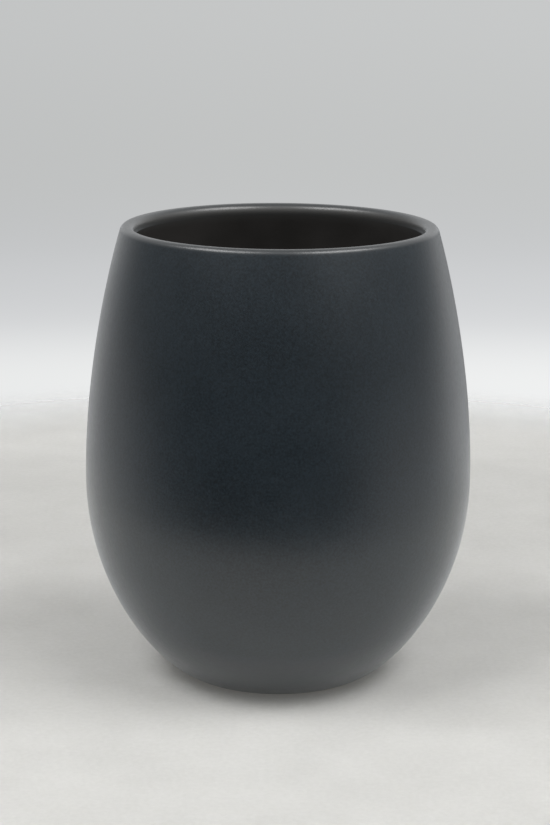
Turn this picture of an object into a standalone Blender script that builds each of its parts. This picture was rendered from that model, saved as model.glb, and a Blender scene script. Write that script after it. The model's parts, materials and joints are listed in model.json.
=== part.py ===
"""An empty candle jar: glazed stoneware, shaped like a stemless tumbler, standing on a foot ring.

Metres, +Z up. The origin is on the jar's axis, in the plane that the foot ring stands on.
The jar is one fired clay body under three coats of glaze. Every sub-part is turned about Z:
a half profile of (radius, height) points and a Screw modifier. A profile starts inside the jar
and runs out along the floor, up the inner wall, over the lip and down the outer wall, so the
material is always on the right of its line of travel.
"""

from math import cos, pi, radians, sin

import bpy
from mathutils import Vector
from mathutils.geometry import interpolate_bezier

# Driving dimensions.
MAX_DIAMETER = 0.0850
HEIGHT = 0.1000
RIM_DIAMETER = 0.0690
FOOT_DIAMETER = 0.0406
BELLY_HEIGHT = 0.0442  # where the jar is widest
WALL = 0.0033  # the clay and both glazes together
FLOOR_HEIGHT = 0.0055  # of the floor inside
GLAZE = 0.0004
BOND = 0.0003  # the fused layer between glaze and clay, left empty between the solids

# The lip: two rounded corners with a narrow flat land between them.
LEAN = radians(16.4)  # of the wall at the lip, inwards from upright
OUTER_CORNER = 0.0013
INNER_CORNER = 0.0017
MEETING_DEPTH = 0.0004  # below the inner corner, where the outer glaze meets the liner

# The outer wall is two smooth curves that meet upright at the belly.
GLAZE_LINE = Vector((0.0214, 0.0005))  # where the outer glaze stops above the foot
GLAZE_LINE_RISE = radians(25)
GLAZE_LINE_PULL = 0.0085
LOWER_BELLY_PULL = 0.0230
UPPER_BELLY_PULL = 0.0232
LIP_PULL = 0.0101

# The inner wall below the belly is one curve down to the flat floor.
FLOOR_RADIUS = 0.0170
FLOOR_PULL = 0.0110
INNER_BELLY_PULL = 0.0200

# The foot ring and the glazed recess inside it.
RING_WIDTH = 0.0036
RING_CORNER = 0.0003
RECESS_DEPTH = 0.0012
RECESS_FILLET = 0.0005
RECESS_GLAZE_EDGE = 0.0002
RECESS_GLAZE_MARGIN = 0.0008  # from the foot ring to the edge of the glaze

# How finely the curves are cut.
TURN_STEPS = 48
WALL_STEPS = 8
CORNER_STEPS = 3

CLAY_DEPTH = GLAZE + BOND
RECESS_CEILING = RECESS_DEPTH + CLAY_DEPTH
UPRIGHT = Vector((0, 1))
OUTWARD = Vector((1, 0))


def polar(length, angle):
    return Vector((length * cos(angle), length * sin(angle)))


def arc(centre, radius, start, end):
    """Points round an arc, from one angle to another."""
    turn = (end - start) / CORNER_STEPS
    return [centre + polar(radius, start + turn * i) for i in range(CORNER_STEPS + 1)]


def curve(start, start_handle, end_handle, end):
    """Points along a cubic curve that has the two handles."""
    knots = [point.to_3d() for point in (start, start_handle, end_handle, end)]
    return [point.to_2d() for point in interpolate_bezier(*knots, WALL_STEPS + 1)]


def sunk(points, depth):
    """The same run of points, this far under the surface that it describes."""
    moved = []
    for i, point in enumerate(points):
        before = points[max(i - 1, 0)]
        after = points[min(i + 1, len(points) - 1)]
        along = (after - before).normalized()
        moved.append(point + depth * Vector((along.y, -along.x)))
    return moved


def stopped_short(points, length):
    """The same run of points with its end drawn back by a length."""
    back = (points[-2] - points[-1]).normalized()
    return points[:-1] + [points[-1] + length * back]


def outer_upper_wall():
    """From the lip's outer corner down to the belly."""
    lip = Vector((RIM_DIAMETER / 2 - OUTER_CORNER, HEIGHT - OUTER_CORNER)) + polar(OUTER_CORNER, LEAN)
    belly = Vector((MAX_DIAMETER / 2, BELLY_HEIGHT))
    down_the_lean = polar(LIP_PULL, LEAN - pi / 2)
    return curve(lip, lip + down_the_lean, belly + UPPER_BELLY_PULL * UPRIGHT, belly)


def outer_lower_wall():
    """From the belly down to the glaze line."""
    belly = Vector((MAX_DIAMETER / 2, BELLY_HEIGHT))
    foot_handle = GLAZE_LINE + polar(GLAZE_LINE_PULL, GLAZE_LINE_RISE)
    return curve(belly, belly - LOWER_BELLY_PULL * UPRIGHT, foot_handle, GLAZE_LINE)


def inner_lip_centre():
    """The centre of the lip's inner corner."""
    wall_to_corner = outer_upper_wall()[0] - polar(WALL - INNER_CORNER, LEAN)
    climb = (HEIGHT - INNER_CORNER - wall_to_corner.y) / cos(LEAN)
    return wall_to_corner + polar(climb, LEAN + pi / 2)


def glaze_meeting():
    """The point just under the lip's inner corner where the outer glaze meets the liner."""
    corner_foot = inner_lip_centre() - polar(INNER_CORNER, LEAN)
    return corner_foot + polar(MEETING_DEPTH, LEAN - pi / 2)


def inner_surface():
    """From the middle of the floor, up to where the glazes meet."""
    floor_edge = Vector((FLOOR_RADIUS, FLOOR_HEIGHT))
    belly = Vector((MAX_DIAMETER / 2 - WALL, BELLY_HEIGHT))
    floor_handle = floor_edge + FLOOR_PULL * OUTWARD
    lower = curve(floor_edge, floor_handle, belly - INNER_BELLY_PULL * UPRIGHT, belly)
    meeting = glaze_meeting()
    upper = [point for point in sunk(outer_upper_wall(), WALL)[::-1] if point.y < meeting.y]
    return [Vector((0, FLOOR_HEIGHT))] + lower + upper[1:] + [meeting]


def outer_surface():
    """From where the glazes meet, over the lip and down to the glaze line."""
    outer_wall = outer_upper_wall() + outer_lower_wall()[1:]
    outer_centre = outer_wall[0] - polar(OUTER_CORNER, LEAN)
    inner_corner = arc(inner_lip_centre(), INNER_CORNER, LEAN + pi, pi / 2)
    outer_corner = arc(outer_centre, OUTER_CORNER, pi / 2, LEAN)
    return [glaze_meeting()] + inner_corner + outer_corner + outer_wall[1:]


def foot_underside():
    """From the foot ring's outer corner, across the ring and the recess, to the axis."""
    outer_radius = FOOT_DIAMETER / 2
    inner_radius = outer_radius - RING_WIDTH
    outer_centre = Vector((outer_radius - RING_CORNER, RING_CORNER))
    inner_centre = Vector((inner_radius + RING_CORNER, RING_CORNER))
    fillet_centre = Vector((inner_radius - RECESS_FILLET, RECESS_CEILING - RECESS_FILLET))
    return (
        arc(outer_centre, RING_CORNER, 0, -pi / 2)
        + arc(inner_centre, RING_CORNER, -pi / 2, -pi)
        + arc(fillet_centre, RECESS_FILLET, 0, pi / 2)
        + [Vector((0, RECESS_CEILING))]
    )


def stoneware_body():
    """The clay: the whole glazed surface sunk by a glaze's depth, then the bare foot."""
    glazed = inner_surface()[:-1] + outer_surface()
    return sunk(glazed, CLAY_DEPTH) + foot_underside()


def outer_glaze():
    """A closed band from just inside the lip down to the glaze line."""
    surface = outer_surface()
    band = surface + sunk(surface, GLAZE)[::-1]
    return band + band[:1]


def liner_glaze():
    """The coat on the inner wall and the floor, stopped just below the outer glaze."""
    surface = stopped_short(inner_surface(), BOND)
    return surface + sunk(surface, GLAZE)[::-1]


def foot_recess_glaze():
    """A thin round pool of glaze on the recess's ceiling."""
    edge_radius = FOOT_DIAMETER / 2 - RING_WIDTH - RECESS_GLAZE_MARGIN
    middle_height = RECESS_DEPTH + RECESS_GLAZE_EDGE
    edge_centre = Vector((edge_radius - RECESS_GLAZE_EDGE, middle_height))
    top = Vector((0, middle_height + RECESS_GLAZE_EDGE))
    bottom = Vector((0, middle_height - RECESS_GLAZE_EDGE))
    return [top] + arc(edge_centre, RECESS_GLAZE_EDGE, pi / 2, -pi / 2) + [bottom]


def clear_scene():
    for obj in list(bpy.data.objects):
        bpy.data.objects.remove(obj)


def finish(name, colour, roughness):
    """A plain Principled material."""
    material = bpy.data.materials.new(name)
    material.use_nodes = True
    shader = material.node_tree.nodes["Principled BSDF"]
    shader.inputs["Base Color"].default_value = (*colour, 1)
    shader.inputs["Roughness"].default_value = roughness
    shader.inputs["Metallic"].default_value = 0
    return material


def turned(name, profile, material, holder, collection):
    """One sub-part: a profile in the X-Z plane, turned once round Z."""
    mesh = bpy.data.meshes.new(name)
    corners = [(point.x, 0, point.y) for point in profile]
    mesh.from_pydata(corners, [(i, i + 1) for i in range(len(corners) - 1)], [])
    mesh.materials.append(material)
    obj = bpy.data.objects.new(name, mesh)
    obj.parent = holder
    collection.objects.link(obj)
    screw = obj.modifiers.new("Turn", "SCREW")
    screw.axis = "Z"
    screw.steps = TURN_STEPS
    screw.render_steps = TURN_STEPS
    screw.use_merge_vertices = True
    screw.merge_threshold = 0.00001
    screw.use_smooth_shade = True
    return obj


def build():
    clear_scene()
    collection = bpy.data.collections.new("candle_jar")
    bpy.context.scene.collection.children.link(collection)
    jar = bpy.data.objects.new("candle_jar", None)
    collection.objects.link(jar)

    bare_clay = finish("bare stoneware", (0.36, 0.31, 0.26), 0.85)
    charcoal = finish("matt charcoal glaze", (0.012, 0.018, 0.025), 0.30)
    umber = finish("satin umber glaze", (0.062, 0.058, 0.055), 0.46)
    turned("stoneware_body", stoneware_body(), bare_clay, jar, collection)
    turned("outer_glaze", outer_glaze(), charcoal, jar, collection)
    turned("liner_glaze", liner_glaze(), umber, jar, collection)
    turned("foot_recess_glaze", foot_recess_glaze(), charcoal, jar, collection)


build()
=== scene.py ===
"""The looks of an empty candle jar: stoneware in matt charcoal glaze with a dark satin liner.

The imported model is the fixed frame. Four finely turned pieces stand for its four nodes, each a
closed layer of the real jar. Lengths are in metres, +Z is up and the jar's axis is Z.
A profile is a run of (radius, height) points. It starts inside the jar and runs out along the
floor, up the inner wall, over the lip and down the outer wall, so the material is always on the
right of its line of travel.
"""

import json
from math import cos, hypot, pi, radians, sin, tau

import bmesh
import bpy
from mathutils import Matrix, Vector, noise
from mathutils.geometry import interpolate_bezier


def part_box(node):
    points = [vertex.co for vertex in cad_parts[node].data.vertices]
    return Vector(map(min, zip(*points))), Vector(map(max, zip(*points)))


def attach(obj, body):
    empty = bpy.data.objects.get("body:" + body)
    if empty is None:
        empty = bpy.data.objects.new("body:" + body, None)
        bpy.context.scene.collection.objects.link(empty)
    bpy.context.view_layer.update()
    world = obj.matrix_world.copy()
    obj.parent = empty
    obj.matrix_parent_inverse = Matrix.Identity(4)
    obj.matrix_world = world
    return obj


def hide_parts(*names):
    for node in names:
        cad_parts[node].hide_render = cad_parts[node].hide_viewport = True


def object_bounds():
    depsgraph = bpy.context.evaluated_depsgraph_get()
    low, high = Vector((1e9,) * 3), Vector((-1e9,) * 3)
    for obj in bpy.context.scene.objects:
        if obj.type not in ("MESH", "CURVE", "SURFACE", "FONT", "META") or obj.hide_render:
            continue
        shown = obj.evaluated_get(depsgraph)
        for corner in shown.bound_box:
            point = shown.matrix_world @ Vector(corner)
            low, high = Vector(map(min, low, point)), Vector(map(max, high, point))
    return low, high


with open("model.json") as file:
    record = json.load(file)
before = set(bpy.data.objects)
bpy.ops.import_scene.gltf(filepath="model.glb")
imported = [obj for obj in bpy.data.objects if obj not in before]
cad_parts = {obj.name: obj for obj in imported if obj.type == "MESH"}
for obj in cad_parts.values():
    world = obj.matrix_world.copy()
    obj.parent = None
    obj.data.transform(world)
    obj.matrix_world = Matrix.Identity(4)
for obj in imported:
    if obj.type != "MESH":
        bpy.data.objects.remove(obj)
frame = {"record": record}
cad_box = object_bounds()

# ---------------------------------------------------------------- sizes from the frame
MOUNTS = {mount["name"]: Vector(mount["pos_m"]) for mount in frame["record"]["mounts"]}
HEIGHT = cad_box[1].z
MAX_RADIUS = cad_box[1].x
FLOOR_HEIGHT = MOUNTS["wick_tab_seat"].z
GLAZE_LINE_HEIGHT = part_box("outer_glaze")[0].z
RECESS_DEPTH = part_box("foot_recess_glaze")[0].z
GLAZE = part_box("foot_recess_glaze")[1].z - RECESS_DEPTH
WALL = MAX_RADIUS - (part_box("liner_glaze")[1].x - GLAZE)
RECESS_GLAZE_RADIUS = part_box("foot_recess_glaze")[1].x

# ---------------------------------------------------------------- the jar's design
BELLY_HEIGHT = 0.442 * HEIGHT
RIM_RADIUS = 0.0345
LEAN = radians(16.4)  # of the wall at the lip, inwards from upright
OUTER_CORNER = 0.0013
INNER_CORNER = 0.0017
MEETING_DEPTH = 0.0004  # of the line under the lip where the outer glaze meets the liner
GLAZE_LINE = Vector((0.0214, GLAZE_LINE_HEIGHT))  # where the outer glaze stops above the foot
GLAZE_LINE_RISE = radians(25)
GLAZE_LINE_PULL = 0.0085  # a pull is the length of a curve's handle
LOWER_BELLY_PULL = 0.0230
UPPER_BELLY_PULL = 0.0232
LIP_PULL = 0.0101
FLOOR_RADIUS = 0.0170
FLOOR_PULL = 0.0110
INNER_BELLY_PULL = 0.0200
RING_OUTER_RADIUS = 0.0203
RING_INNER_RADIUS = 0.0167
RING_CORNER = 0.0003
RECESS_FILLET = 0.0005
BOND = 0.00002  # the gap between a glaze's back and the clay

UPRIGHT = Vector((0, 1))
OUTWARD = Vector((1, 0))

# ---------------------------------------------------------------- how finely it is cut
TURN_STEPS = 224
WALL_STEPS = 56
CORNER_STEPS = 8
HIDDEN_EVERY = 4  # a hidden surface keeps one point in this many
MERGE_DISTANCE = 1e-6
SHARP_EDGE = radians(50)


def polar(length, angle):
    """The point at this distance and angle from the origin."""
    return Vector((length * cos(angle), length * sin(angle)))


def arc(centre, radius, start, end):
    """Points round an arc, from one angle to another."""
    turn = (end - start) / CORNER_STEPS
    return [centre + polar(radius, start + turn * i) for i in range(CORNER_STEPS + 1)]


def curve(start, start_handle, end_handle, end):
    """Points along a cubic curve that has the two handles."""
    knots = [point.to_3d() for point in (start, start_handle, end_handle, end)]
    return [point.to_2d() for point in interpolate_bezier(*knots, WALL_STEPS + 1)]


def sunk(points, depth):
    """The same run of points, this far under the surface that it describes."""
    moved = []
    for i, point in enumerate(points):
        before = points[max(i - 1, 0)]
        after = points[min(i + 1, len(points) - 1)]
        along = (after - before).normalized()
        moved.append(point + depth * Vector((along.y, -along.x)))
    return moved


def outer_upper_wall():
    """From the lip's outer corner down to the belly."""
    lip = Vector((RIM_RADIUS - OUTER_CORNER, HEIGHT - OUTER_CORNER)) + polar(OUTER_CORNER, LEAN)
    belly = Vector((MAX_RADIUS, BELLY_HEIGHT))
    down_the_lean = polar(LIP_PULL, LEAN - pi / 2)
    return curve(lip, lip + down_the_lean, belly + UPPER_BELLY_PULL * UPRIGHT, belly)


def outer_lower_wall():
    """From the belly down to the glaze line."""
    belly = Vector((MAX_RADIUS, BELLY_HEIGHT))
    foot_handle = GLAZE_LINE + polar(GLAZE_LINE_PULL, GLAZE_LINE_RISE)
    return curve(belly, belly - LOWER_BELLY_PULL * UPRIGHT, foot_handle, GLAZE_LINE)


def inner_lip_centre():
    """The centre of the lip's inner corner."""
    wall_to_corner = outer_upper_wall()[0] - polar(WALL - INNER_CORNER, LEAN)
    climb = (HEIGHT - INNER_CORNER - wall_to_corner.y) / cos(LEAN)
    return wall_to_corner + polar(climb, LEAN + pi / 2)


def glaze_meeting():
    """The point just under the lip's inner corner where the outer glaze meets the liner."""
    corner_foot = inner_lip_centre() - polar(INNER_CORNER, LEAN)
    return corner_foot + polar(MEETING_DEPTH, LEAN - pi / 2)


def inner_surface():
    """From the middle of the floor, up to where the glazes meet."""
    floor_edge = Vector((FLOOR_RADIUS, FLOOR_HEIGHT))
    belly = Vector((MAX_RADIUS - WALL, BELLY_HEIGHT))
    floor_handle = floor_edge + FLOOR_PULL * OUTWARD
    lower = curve(floor_edge, floor_handle, belly - INNER_BELLY_PULL * UPRIGHT, belly)
    meeting = glaze_meeting()
    upper = [point for point in sunk(outer_upper_wall(), WALL)[::-1] if point.y < meeting.y]
    floor = [Vector((FLOOR_RADIUS * i / CORNER_STEPS, FLOOR_HEIGHT)) for i in range(CORNER_STEPS)]
    return floor + lower + upper[1:] + [meeting]


def outer_surface():
    """From where the glazes meet, over the lip and down to the glaze line."""
    outer_wall = outer_upper_wall() + outer_lower_wall()[1:]
    outer_centre = outer_wall[0] - polar(OUTER_CORNER, LEAN)
    inner_corner = arc(inner_lip_centre(), INNER_CORNER, LEAN + pi, pi / 2)
    outer_corner = arc(outer_centre, OUTER_CORNER, pi / 2, LEAN)
    return [glaze_meeting()] + inner_corner + outer_corner + outer_wall[1:]


def thinned(points):
    """A hidden surface's points: one in a few of them, with both ends kept."""
    return points[:-1:HIDDEN_EVERY] + points[-1:]


def rounded_end(surface_end, back_end):
    """A half circle that closes a glaze's end, from its surface round to its back."""
    centre = (surface_end + back_end) / 2
    across = surface_end - centre
    start = across.angle_signed(OUTWARD)
    return arc(centre, across.length, start, start - pi)[1:-1]


def outer_glaze_profile():
    """A closed band from just inside the lip down to the glaze line."""
    surface = outer_surface()
    back = thinned(sunk(surface, GLAZE)[::-1])
    return surface + rounded_end(surface[-1], back[0]) + back


def liner_glaze_profile():
    """The coat on the inner wall and the floor, from the axis round to the axis."""
    surface = inner_surface()
    return surface + thinned(sunk(surface, GLAZE)[::-1])


def clay_profile():
    """The clay under the glazes, then the bare foot ring and the recess."""
    glazed = inner_surface()[:-1] + outer_surface()
    ring_outer = Vector((RING_OUTER_RADIUS - RING_CORNER, RING_CORNER))
    ring_inner = Vector((RING_INNER_RADIUS + RING_CORNER, RING_CORNER))
    ceiling = RECESS_DEPTH + GLAZE + BOND
    fillet = Vector((RING_INNER_RADIUS - RECESS_FILLET, ceiling - RECESS_FILLET))
    return (
        thinned(sunk(glazed, GLAZE + BOND))
        + arc(ring_outer, RING_CORNER, 0, -pi / 2)
        + arc(ring_inner, RING_CORNER, -pi / 2, -pi)
        + arc(fillet, RECESS_FILLET, 0, pi / 2)
        + [Vector((0, ceiling))]
    )


def recess_glaze_profile():
    """A thin round pool with a rounded edge, from the axis round to the axis."""
    middle = RECESS_DEPTH + GLAZE / 2
    edge = Vector((RECESS_GLAZE_RADIUS - GLAZE / 2, middle))
    top = Vector((0, middle + GLAZE / 2))
    bottom = Vector((0, middle - GLAZE / 2))
    return [top] + arc(edge, GLAZE / 2, pi / 2, -pi / 2) + [bottom]


# ---------------------------------------------------------------- mesh
OVAL = 0.00006  # how much the rim is out of round
RIPPLE = 0.00004  # long, shallow unevenness of a cast wall
RIPPLE_SIZE = 0.030


def cast_unevenness(point):
    """How much nearer to the axis casting and firing leave a point, as a factor on its radius.

    The oval grows towards the rim. The ripple is everywhere, and fades out at the axis.
    """
    radius = hypot(point.x, point.y)
    if not radius:
        return 1
    rise = point.z / HEIGHT
    oval = OVAL * rise * (1 - point.x * point.x / (radius * radius))
    ripple = RIPPLE * (noise.noise(point / RIPPLE_SIZE) + 1) / 2 * min(radius / RING_OUTER_RADIUS, 1)
    return 1 - (oval + ripple) / radius


def turned(name, profile, closed, material):
    """One piece: a profile turned once about Z, made slightly uneven and shaded smooth.

    A closed profile is a band with no point on the axis. The others start and end on the axis.
    """
    mesh = bmesh.new()
    verts = [mesh.verts.new((point.x, 0, point.y)) for point in profile]
    next_verts = verts[1:] + verts[:1] if closed else verts[1:]
    edges = [mesh.edges.new(pair) for pair in zip(verts, next_verts)]
    bmesh.ops.spin(
        mesh,
        geom=verts + edges,
        cent=(0, 0, 0),
        axis=(0, 0, 1),
        steps=TURN_STEPS,
        angle=tau,
        use_merge=True,
    )
    bmesh.ops.remove_doubles(mesh, verts=mesh.verts, dist=MERGE_DISTANCE)
    for vert in mesh.verts:
        scale = cast_unevenness(vert.co)
        vert.co.x *= scale
        vert.co.y *= scale
    bmesh.ops.recalc_face_normals(mesh, faces=mesh.faces)
    data = bpy.data.meshes.new(name)
    mesh.to_mesh(data)
    mesh.free()
    data.shade_smooth()
    data.set_sharp_from_angle(angle=SHARP_EDGE)
    data.materials.append(material)
    piece = bpy.data.objects.new(name, data)
    bpy.context.scene.collection.objects.link(piece)
    return piece


# ---------------------------------------------------------------- materials
CHARCOAL_DARK = (0.0068, 0.0106, 0.0138)
CHARCOAL_LIGHT = (0.0162, 0.0252, 0.0330)
LIP_GREY = (0.045, 0.048, 0.050)  # lighter over the lip: partly thinner glaze, partly a painted highlight
FOOT_PAINTED_LIGHT = (0.065, 0.069, 0.072)  # painted light: paler towards the foot, lifting the shade on the lower wall near the floor
MEETING_BAND_GREY = (0.060, 0.060, 0.058)  # painted light: a lighter grey where the two glazes meet inside the lip, standing in for light on the lip's inner corner
CHARCOAL_CLOUD = 0.016
CHARCOAL_SPECKLE = 0.00045
CHARCOAL_SKIN = 0.0011  # the orange-peel skin's lumps
CHARCOAL_SKIN_DEPTH = 0.000016
CHARCOAL_IOR = 1.56
CHARCOAL_ROUGHNESS = 0.34
ROUGHNESS_RANGE = 0.035  # either side of that
SHEEN = 0.22  # the dry skin's brightening at a glancing angle
SHEEN_ROUGHNESS = 0.38
SHEEN_TINT = (0.90, 0.95, 1.00, 1)
FOOT_FADE = 0.014  # how far up from the foot the painted lightening reaches
FOOT_RAGGED = 0.001  # how far the clouds push that edge up or down
LIP_FADE = 0.988 * HEIGHT  # where the lighter lip, thin glaze and painted highlight, starts
LIP_INSIDE_DROP = 0.0012  # how much lower it starts at the inside of the lip
LIP_ONLY = 0.9 * HEIGHT  # the lighter band where the glazes meet is above this, and not at the foot, which is as narrow

UMBER_DARK = (0.035, 0.033, 0.031)
UMBER_LIGHT = (0.045, 0.042, 0.040)
UMBER_CLOUD = 0.012
UMBER_SKIN = 0.0014
UMBER_SKIN_DEPTH = 0.000012
UMBER_IOR = 1.5
UMBER_SMOOTH = 0.42
UMBER_ROUGH = 0.50
MEETING_BAND_START = 0.955 * HEIGHT  # the liner's painted lighter band, where it meets the outer glaze, starts here
MEETING_BAND_END = 0.985 * HEIGHT

CLAY_DARK = (0.30, 0.25, 0.20)
CLAY_LIGHT = (0.42, 0.36, 0.30)
CLAY_SPECK = (0.16, 0.12, 0.09)
CLAY_CLOUD = 0.006
CLAY_GRAIN = 0.0004
CLAY_GRAIN_DEPTH = 0.000060
CLAY_SMOOTH = 0.80
CLAY_ROUGH = 0.95


class Nodes:
    """A short way to write a node tree."""

    def __init__(self, tree):
        self.tree = tree
        tree.nodes.clear()

    def add(self, kind, **settings):
        """A node with its settings, and inputs given as links or values."""
        node = self.tree.nodes.new(kind)
        for key, value in settings.items():
            if key != "inputs":
                setattr(node, key, value)
        for socket, value in settings.get("inputs", {}).items():
            if isinstance(value, bpy.types.NodeSocket):
                self.tree.links.new(value, node.inputs[socket])
            else:
                node.inputs[socket].default_value = value
        return node

    def noise(self, where, size, detail, roughness=0.5):
        """Noise with lumps of about this size, in metres. It lies mostly between 0.3 and 0.7."""
        inputs = {"Vector": where, "Scale": 1 / size, "Detail": detail, "Roughness": roughness}
        return self.add("ShaderNodeTexNoise", inputs=inputs).outputs["Fac"]

    def math(self, operation, first, second):
        """One operation on two values."""
        node = self.add("ShaderNodeMath", operation=operation, inputs={0: first, 1: second})
        return node.outputs[0]

    def spread(self, value, low, high, to_low, to_high, smooth=False):
        """Maps one range of values on to another."""
        source = {"Value": value, "From Min": low, "From Max": high}
        inputs = {**source, "To Min": to_low, "To Max": to_high}
        kind = "SMOOTHSTEP" if smooth else "LINEAR"
        return self.add("ShaderNodeMapRange", interpolation_type=kind, inputs=inputs).outputs["Result"]

    def mix(self, factor, first, second, blend="MIX"):
        """Two colours blended, each given as a link or a value."""
        node = self.add("ShaderNodeMix", data_type="RGBA", blend_type=blend, inputs={0: factor})
        for socket, value in ((node.inputs[6], first), (node.inputs[7], second)):
            if isinstance(value, bpy.types.NodeSocket):
                self.tree.links.new(value, socket)
            else:
                socket.default_value = (*value, 1)
        return node.outputs[2]

    def bump(self, height, depth):
        """A bump whose full range of height is this deep, in metres."""
        inputs = {"Strength": 1, "Distance": depth, "Height": height}
        return self.add("ShaderNodeBump", inputs=inputs).outputs["Normal"]


def principled(name):
    """A new material: its nodes, its object coordinates, and a shader wired to its output."""
    material = bpy.data.materials.new(name)
    material.use_nodes = True
    nodes = Nodes(material.node_tree)
    where = nodes.add("ShaderNodeTexCoord").outputs["Object"]
    shader = nodes.add("ShaderNodeBsdfPrincipled")
    nodes.add("ShaderNodeOutputMaterial", inputs={"Surface": shader.outputs["BSDF"]})
    return material, nodes, where, shader


def connect(nodes, shader, **inputs):
    """Links values to the shader's sockets, named with _ for a space."""
    for socket, value in inputs.items():
        nodes.tree.links.new(value, shader.inputs[socket.replace("_", " ")])


def painted_light_at_foot(nodes, colour, rise, clouds):
    """The outer glaze's colour, painted paler towards the foot along a ragged edge: painted light that
    lifts the shade near the floor.
    """
    ragged = nodes.spread(clouds, 0, 1, -FOOT_RAGGED, FOOT_RAGGED)
    foot_lift = nodes.spread(nodes.math("ADD", rise, ragged), 0, FOOT_FADE, 1, 0)
    return nodes.mix(foot_lift, colour, FOOT_PAINTED_LIGHT)


def thin_and_lit_lip(nodes, colour, rise, radius):
    """The outer glaze's colour, lighter over the lip from thinner glaze and a painted highlight, and
    painted lighter in the band inside it where the glazes meet.
    """
    inside = RIM_RADIUS - WALL
    inward = nodes.spread(radius, inside, RIM_RADIUS, LIP_INSIDE_DROP, 0)
    # partly painted highlight: lighter towards the top of the lip, also from the glaze running thin
    # there
    thinner_and_lit = nodes.spread(nodes.math("ADD", rise, inward), LIP_FADE, HEIGHT, 0, 1, smooth=True)
    colour = nodes.mix(thinner_and_lit, colour, LIP_GREY)
    # painted light: a lighter grey band inside the lip where the glazes meet, lifting the shade of the
    # inner corner
    inner = nodes.spread(radius, inside, inside + INNER_CORNER / 2, 1, 0, smooth=True)
    meeting_band = nodes.math("MULTIPLY", inner, nodes.math("GREATER_THAN", rise, LIP_ONLY))
    return nodes.mix(meeting_band, colour, MEETING_BAND_GREY)


def matt_glaze(name):
    """Matt charcoal glaze: cloudy tone, fine speckle, an orange-peel skin and a slight sheen."""
    material, nodes, where, shader = principled(name)
    rise = nodes.add("ShaderNodeSeparateXYZ", inputs={0: where}).outputs["Z"]
    level_only = {0: where, 1: (1, 1, 0)}
    flat = nodes.add("ShaderNodeVectorMath", operation="MULTIPLY", inputs=level_only).outputs["Vector"]
    radius = nodes.add("ShaderNodeVectorMath", operation="LENGTH", inputs={0: flat}).outputs["Value"]
    clouds = nodes.noise(where, CHARCOAL_CLOUD, 3)
    speckle = nodes.noise(where, CHARCOAL_SPECKLE, 2, 0.6)
    skin = nodes.noise(where, CHARCOAL_SKIN, 3, 0.55)
    cloudy = nodes.math("ADD", nodes.spread(clouds, 0.35, 0.65, -0.04, 0.04), speckle)
    colour = nodes.mix(nodes.spread(cloudy, 0.30, 0.70, 0, 1), CHARCOAL_DARK, CHARCOAL_LIGHT)
    # painted light: the glaze turns paler towards the foot, standing in for light on the lower wall
    colour = painted_light_at_foot(nodes, colour, rise, clouds)
    colour = thin_and_lit_lip(nodes, colour, rise, radius)
    smooth, rough = CHARCOAL_ROUGHNESS - ROUGHNESS_RANGE, CHARCOAL_ROUGHNESS + ROUGHNESS_RANGE
    roughness = nodes.spread(nodes.math("ADD", clouds, skin), 0.7, 1.3, smooth, rough)
    bumps = nodes.bump(skin, CHARCOAL_SKIN_DEPTH)
    connect(nodes, shader, Base_Color=colour, Roughness=roughness, Normal=bumps)
    shader.inputs["IOR"].default_value = CHARCOAL_IOR
    shader.inputs["Sheen Weight"].default_value = SHEEN
    shader.inputs["Sheen Roughness"].default_value = SHEEN_ROUGHNESS
    shader.inputs["Sheen Tint"].default_value = SHEEN_TINT
    return material


def satin_glaze():
    """Dark umber liner: warmer than the outside, with faint clouds and no sheen."""
    material, nodes, where, shader = principled("satin umber glaze")
    rise = nodes.add("ShaderNodeSeparateXYZ", inputs={0: where}).outputs["Z"]
    clouds = nodes.noise(where, UMBER_CLOUD, 3)
    skin = nodes.noise(where, UMBER_SKIN, 2)
    colour = nodes.mix(nodes.spread(clouds, 0.35, 0.65, 0, 1), UMBER_DARK, UMBER_LIGHT)
    # painted light: the liner turns lighter grey towards the lip, lifting the shade of the lip's inner
    # corner
    meeting_band = nodes.spread(rise, MEETING_BAND_START, MEETING_BAND_END, 0, 1, smooth=True)
    colour = nodes.mix(meeting_band, colour, MEETING_BAND_GREY)
    roughness = nodes.spread(clouds, 0.3, 0.7, UMBER_SMOOTH, UMBER_ROUGH)
    bumps = nodes.bump(skin, UMBER_SKIN_DEPTH)
    connect(nodes, shader, Base_Color=colour, Roughness=roughness, Normal=bumps)
    shader.inputs["IOR"].default_value = UMBER_IOR
    return material


def bare_stoneware():
    """Unglazed fired clay: warm grey, grainy and dry, with dark specks."""
    material, nodes, where, shader = principled("bare stoneware")
    clouds = nodes.noise(where, CLAY_CLOUD, 4)
    grain = nodes.noise(where, CLAY_GRAIN, 3, 0.7)
    clay = nodes.mix(nodes.spread(clouds, 0.3, 0.7, 0, 1), CLAY_DARK, CLAY_LIGHT)
    colour = nodes.mix(nodes.spread(grain, 0.55, 0.75, 0, 0.6), clay, CLAY_SPECK)
    roughness = nodes.spread(grain, 0.2, 0.8, CLAY_SMOOTH, CLAY_ROUGH)
    bumps = nodes.bump(grain, CLAY_GRAIN_DEPTH)
    connect(nodes, shader, Base_Color=colour, Roughness=roughness, Normal=bumps)
    return material


# ---------------------------------------------------------------- the pieces
def stand_for(piece, node):
    """Puts a piece on the jar's body and hides the CAD node that it stands for."""
    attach(piece, "root")
    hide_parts(node)


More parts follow.
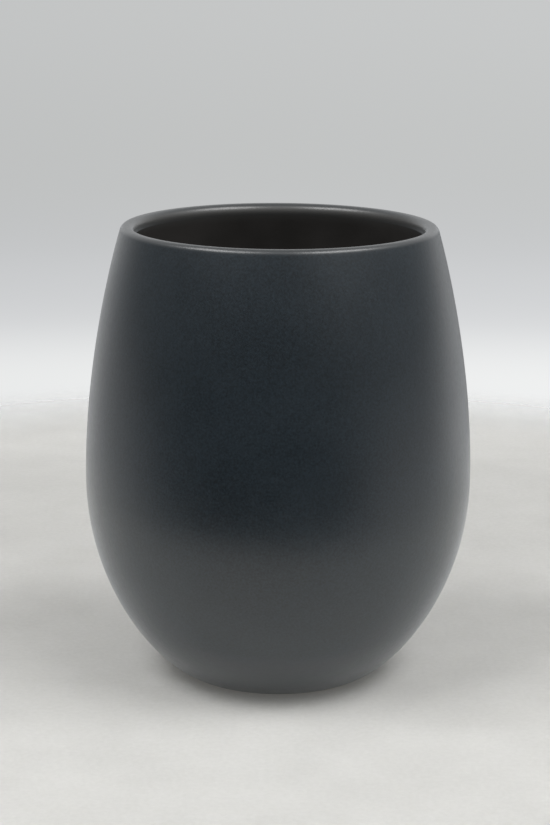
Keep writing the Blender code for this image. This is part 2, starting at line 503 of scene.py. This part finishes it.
def make_jar():
    """The four layers of the jar."""
    charcoal = matt_glaze("matt charcoal glaze")
    recess = matt_glaze("foot recess glaze")
    outer = turned("jar_outer_glaze", outer_glaze_profile(), True, charcoal)
    stand_for(outer, "outer_glaze")
    liner = turned("jar_liner_glaze", liner_glaze_profile(), False, satin_glaze())
    stand_for(liner, "liner_glaze")
    clay = turned("jar_clay_body", clay_profile(), False, bare_stoneware())
    stand_for(clay, "stoneware_body")
    pool = turned("jar_recess_glaze", recess_glaze_profile(), False, recess)
    stand_for(pool, "foot_recess_glaze")


# ---------------------------------------------------------------- the studio
FLOOR_CENTRE = Vector((0, 0.06, 0))
FLOOR_SIDES = 96
FLOOR_DARK = (0.630, 0.625, 0.602)
FLOOR_LIGHT = (0.702, 0.697, 0.674)
FLOOR_SMUDGE = 0.02
FLOOR_MOTTLE = 0.0012
SEEN_FLOOR = 0.71  # the camera sees the floor this much darker than the jar does
FLOOR_GLOW = 0.07  # painted glow: the floor gives off this light of its own, lifting the shade at the jar's foot
GLOW_COLOUR = (1, 1, 0.97, 1)
LIGHT_SOAK = 0.0055  # how far light spreads inside the stone, which softens the shadow at the foot
SOAK_COLOURS = (1, 1, 0.9)
FADE_START = 0.155  # from the floor's centre
FADE_END = 0.230
PAINTED_SHADE = 0.09  # painted shade: the camera sees the floor this much darker still, in a band behind the jar
PAINTED_SHADE_START = 0.04  # the band is full from here, back from the floor's centre
PAINTED_SHADE_END = 0.09
PAINTED_SHADE_GONE = 0.14


def painted_shade_band(nodes, where):
    """The painted shade: how much darker the floor looks to the camera, in a soft band behind the jar.
    """
    depth = nodes.add("ShaderNodeSeparateXYZ", inputs={0: where}).outputs["Y"]
    behind = nodes.spread(depth, 0, PAINTED_SHADE_START, 0, 1, smooth=True)
    near = nodes.spread(depth, PAINTED_SHADE_END, PAINTED_SHADE_GONE, 1, 0, smooth=True)
    return nodes.math("MULTIPLY", nodes.math("MULTIPLY", behind, near), PAINTED_SHADE)


def pale_stone():
    """The floor's material: mottled, slightly translucent, and clear beyond the fade."""
    material = bpy.data.materials.new("pale floor")
    material.use_nodes = True
    nodes = Nodes(material.node_tree)
    where = nodes.add("ShaderNodeTexCoord").outputs["Object"]
    distance = nodes.add("ShaderNodeVectorMath", operation="LENGTH", inputs={0: where}).outputs["Value"]
    there = nodes.spread(distance, FADE_START, FADE_END, 1, 0, smooth=True)
    smudges = nodes.noise(where, FLOOR_SMUDGE, 5, 0.6)
    mottle = nodes.noise(where, FLOOR_MOTTLE, 4, 0.7)
    uneven = nodes.spread(nodes.math("ADD", smudges, mottle), 0.75, 1.25, 0, 1)
    pale = nodes.mix(uneven, FLOOR_DARK, FLOOR_LIGHT)
    is_seen = nodes.add("ShaderNodeLightPath").outputs["Is Camera Ray"]
    # the floor seen by the camera is darker, with a painted shade band behind the jar
    seen_shade = nodes.math("SUBTRACT", SEEN_FLOOR, painted_shade_band(nodes, where))
    pale = nodes.mix(1, pale, nodes.spread(is_seen, 0, 1, 1, seen_shade), "MULTIPLY")
    stone = nodes.add("ShaderNodeBsdfPrincipled", subsurface_method="BURLEY")
    connect(nodes, stone, Base_Color=pale)
    stone.inputs["Roughness"].default_value = 1
    stone.inputs["Specular IOR Level"].default_value = 0
    stone.inputs["Subsurface Weight"].default_value = 1
    stone.inputs["Subsurface Radius"].default_value = SOAK_COLOURS
    stone.inputs["Subsurface Scale"].default_value = LIGHT_SOAK
    # painted glow: the floor emits a little light, which lifts the shade near the jar
    stone.inputs["Emission Color"].default_value = GLOW_COLOUR
    stone.inputs["Emission Strength"].default_value = FLOOR_GLOW
    clear = nodes.add("ShaderNodeBsdfTransparent").outputs[0]
    blend = {0: there, 1: clear, 2: stone.outputs[0]}
    surface = nodes.add("ShaderNodeMixShader", inputs=blend).outputs[0]
    nodes.add("ShaderNodeOutputMaterial", inputs={"Surface": surface})
    return material


def make_floor():
    """A round pale floor that fades into the background at its edge."""
    mesh = bmesh.new()
    bmesh.ops.create_circle(mesh, cap_ends=True, segments=FLOOR_SIDES, radius=FADE_END)
    data = bpy.data.meshes.new("studio_floor")
    mesh.to_mesh(data)
    mesh.free()
    data.materials.append(pale_stone())
    floor = bpy.data.objects.new("studio_floor", data)
    floor.location = FLOOR_CENTRE
    bpy.context.scene.collection.objects.link(floor)


def direction_of(azimuth, elevation):
    """Azimuth 0 is in front, towards -Y, and 90 degrees is towards +X."""
    return Vector((sin(azimuth) * cos(elevation), -cos(azimuth) * cos(elevation), sin(elevation)))


KEY_AZIMUTH = radians(60)  # to either side of the front
KEY_ELEVATION = radians(57)
KEY_DISTANCE = 1.2
KEY_WIDTH = 0.80
KEY_HEIGHT = 0.45
KEY_POWERS = {"key_left": 9.6, "key_right": 9.5}


def make_lights():
    """Two softboxes in front of the jar, high up on either side and aimed at its middle."""
    for (name, power), side in zip(KEY_POWERS.items(), (-1, 1)):
        light = bpy.data.lights.new(name, "AREA")
        light.shape = "RECTANGLE"
        light.size = KEY_WIDTH
        light.size_y = KEY_HEIGHT
        light.energy = power
        lamp = bpy.data.objects.new(name, light)
        out = direction_of(side * KEY_AZIMUTH, KEY_ELEVATION)
        lamp.location = out * KEY_DISTANCE + Vector((0, 0, HEIGHT / 2))
        lamp.rotation_euler = out.to_track_quat("Z", "Y").to_euler()
        bpy.context.scene.collection.objects.link(lamp)


# Soft panels round the jar: azimuth and elevation in degrees, sharpness, brightness. One that is
# below the horizon stands for the bright table beyond the floor.
PANELS = {
    "right_table": (75, -18, 8, 0.75),
    "right_back_table": (130, -18, 8, 1.25),
    "left_back_table": (-155, -18, 8, 0.90),
    "left_table": (-105, -18, 8, 0.75),
    "right_wall": (150, 10, 8, 0.85),
    "left_wall": (-150, 10, 8, 0.70),
    "front_fill": (0, 38, 10, 0.30),
    "right_fill": (45, 38, 10, 0.85),
    "right_side": (90, 38, 10, 0.80),
    "back_window": (180, 38, 10, 0.45),
    "left_side": (-90, 38, 10, 0.50),
    "left_fill": (-45, 38, 10, 0.40),
}
HORIZON_BLUR = 0.05  # half the depth over which a panel is cut off at the horizon

# What the camera sees beyond the floor, by how steeply it looks: 0 is 30 degrees down, 0.5 is
# level and 1 is 30 degrees up.
SWEEP = (
    (0.000, (0.50, 0.50, 0.49)),
    (0.215, (0.50, 0.50, 0.49)),
    (0.262, (0.77, 0.78, 0.78)),
    (0.283, (0.83, 0.84, 0.84)),
    (0.305, (0.68, 0.69, 0.70)),
    (0.335, (0.58, 0.59, 0.60)),
    (0.370, (0.54, 0.55, 0.55)),
    (0.450, (0.56, 0.57, 0.57)),
)
SWEEP_REACH = 0.5  # the sine of those 30 degrees
SIDE_REACH = 0.15
SIDE_CHANGE = 0.03  # the sweep is this much darker that far to the left, and brighter to the right


def ramp(nodes, value, stops):
    """A smooth ramp of colours through (place, colour) stops."""
    node = nodes.add("ShaderNodeValToRGB", inputs={"Fac": value})
    node.color_ramp.interpolation = "CARDINAL"
    elements = node.color_ramp.elements
    while len(elements) < len(stops):
        elements.new(0.5)
    for element, (place, colour) in zip(elements, stops):
        element.position = place
        element.color = (*colour, 1)
    return node.outputs["Color"]


def glow(nodes, direction, above, below, panel):
    """The light of one soft panel, cut off at the horizon."""
    azimuth, elevation, sharpness, brightness = panel
    inputs = {0: direction, 1: direction_of(radians(azimuth), radians(elevation))}
    facing = nodes.add("ShaderNodeVectorMath", operation="DOT_PRODUCT", inputs=inputs).outputs["Value"]
    shape = nodes.math("POWER", nodes.math("MAXIMUM", facing, 0), sharpness)
    side = above if elevation > 0 else below
    return nodes.math("MULTIPLY", nodes.math("MULTIPLY", shape, side), brightness)


def make_world():
    """A pale sweep behind the jar for the camera, and soft panels that light the jar."""
    world = bpy.data.worlds.new("studio")
    bpy.context.scene.world = world
    world.use_nodes = True
    nodes = Nodes(world.node_tree)
    direction = nodes.add("ShaderNodeTexCoord").outputs["Generated"]
    parts = nodes.add("ShaderNodeSeparateXYZ", inputs={0: direction}).outputs
    across, rise = parts["X"], parts["Z"]
    seen = ramp(nodes, nodes.spread(rise, -SWEEP_REACH, SWEEP_REACH, 0, 1), SWEEP)
    sideways = nodes.spread(across, -SIDE_REACH, SIDE_REACH, 1 - SIDE_CHANGE, 1 + SIDE_CHANGE)
    seen = nodes.mix(1, seen, sideways, "MULTIPLY")
    above = nodes.spread(rise, -HORIZON_BLUR, HORIZON_BLUR, 0, 1, smooth=True)
    below = nodes.math("SUBTRACT", 1, above)
    light = 0
    for panel in PANELS.values():
        light = nodes.math("ADD", light, glow(nodes, direction, above, below, panel))
    is_seen = nodes.add("ShaderNodeLightPath").outputs["Is Camera Ray"]
    colour = nodes.mix(is_seen, light, seen)
    background = nodes.add("ShaderNodeBackground", inputs={"Color": colour, "Strength": 1})
    nodes.add("ShaderNodeOutputWorld", inputs={"Surface": background.outputs[0]})


CAMERA_DISTANCE = 0.4531
CAMERA_HEIGHT = 0.1690
CAMERA_PITCH = radians(13.736)  # downwards
CAMERA_YAW = radians(0.095)
CAMERA_ROLL = radians(0.326)
CAMERA_LENS = 92.3  # millimetres, as is the sensor
CAMERA_SENSOR = 36
CAMERA_NEAR = 0.01
CAMERA_FAR = 10


def make_camera():
    """A camera in front of the jar and above it, looking down at it."""
    data = bpy.data.cameras.new("camera")
    data.lens = CAMERA_LENS
    data.sensor_width = CAMERA_SENSOR
    data.clip_start = CAMERA_NEAR
    data.clip_end = CAMERA_FAR
    camera = bpy.data.objects.new("camera", data)
    position = Matrix.Translation((0, -CAMERA_DISTANCE, CAMERA_HEIGHT))
    yaw = Matrix.Rotation(CAMERA_YAW, 4, "Z")
    pitch = Matrix.Rotation(pi / 2 - CAMERA_PITCH, 4, "X")
    roll = Matrix.Rotation(CAMERA_ROLL, 4, "Z")
    camera.matrix_world = position @ yaw @ pitch @ roll
    bpy.context.scene.collection.objects.link(camera)
    bpy.context.scene.camera = camera


bpy.context.scene.view_settings.view_transform = "Standard"
make_camera()
make_jar()
make_floor()
make_world()
make_lights()
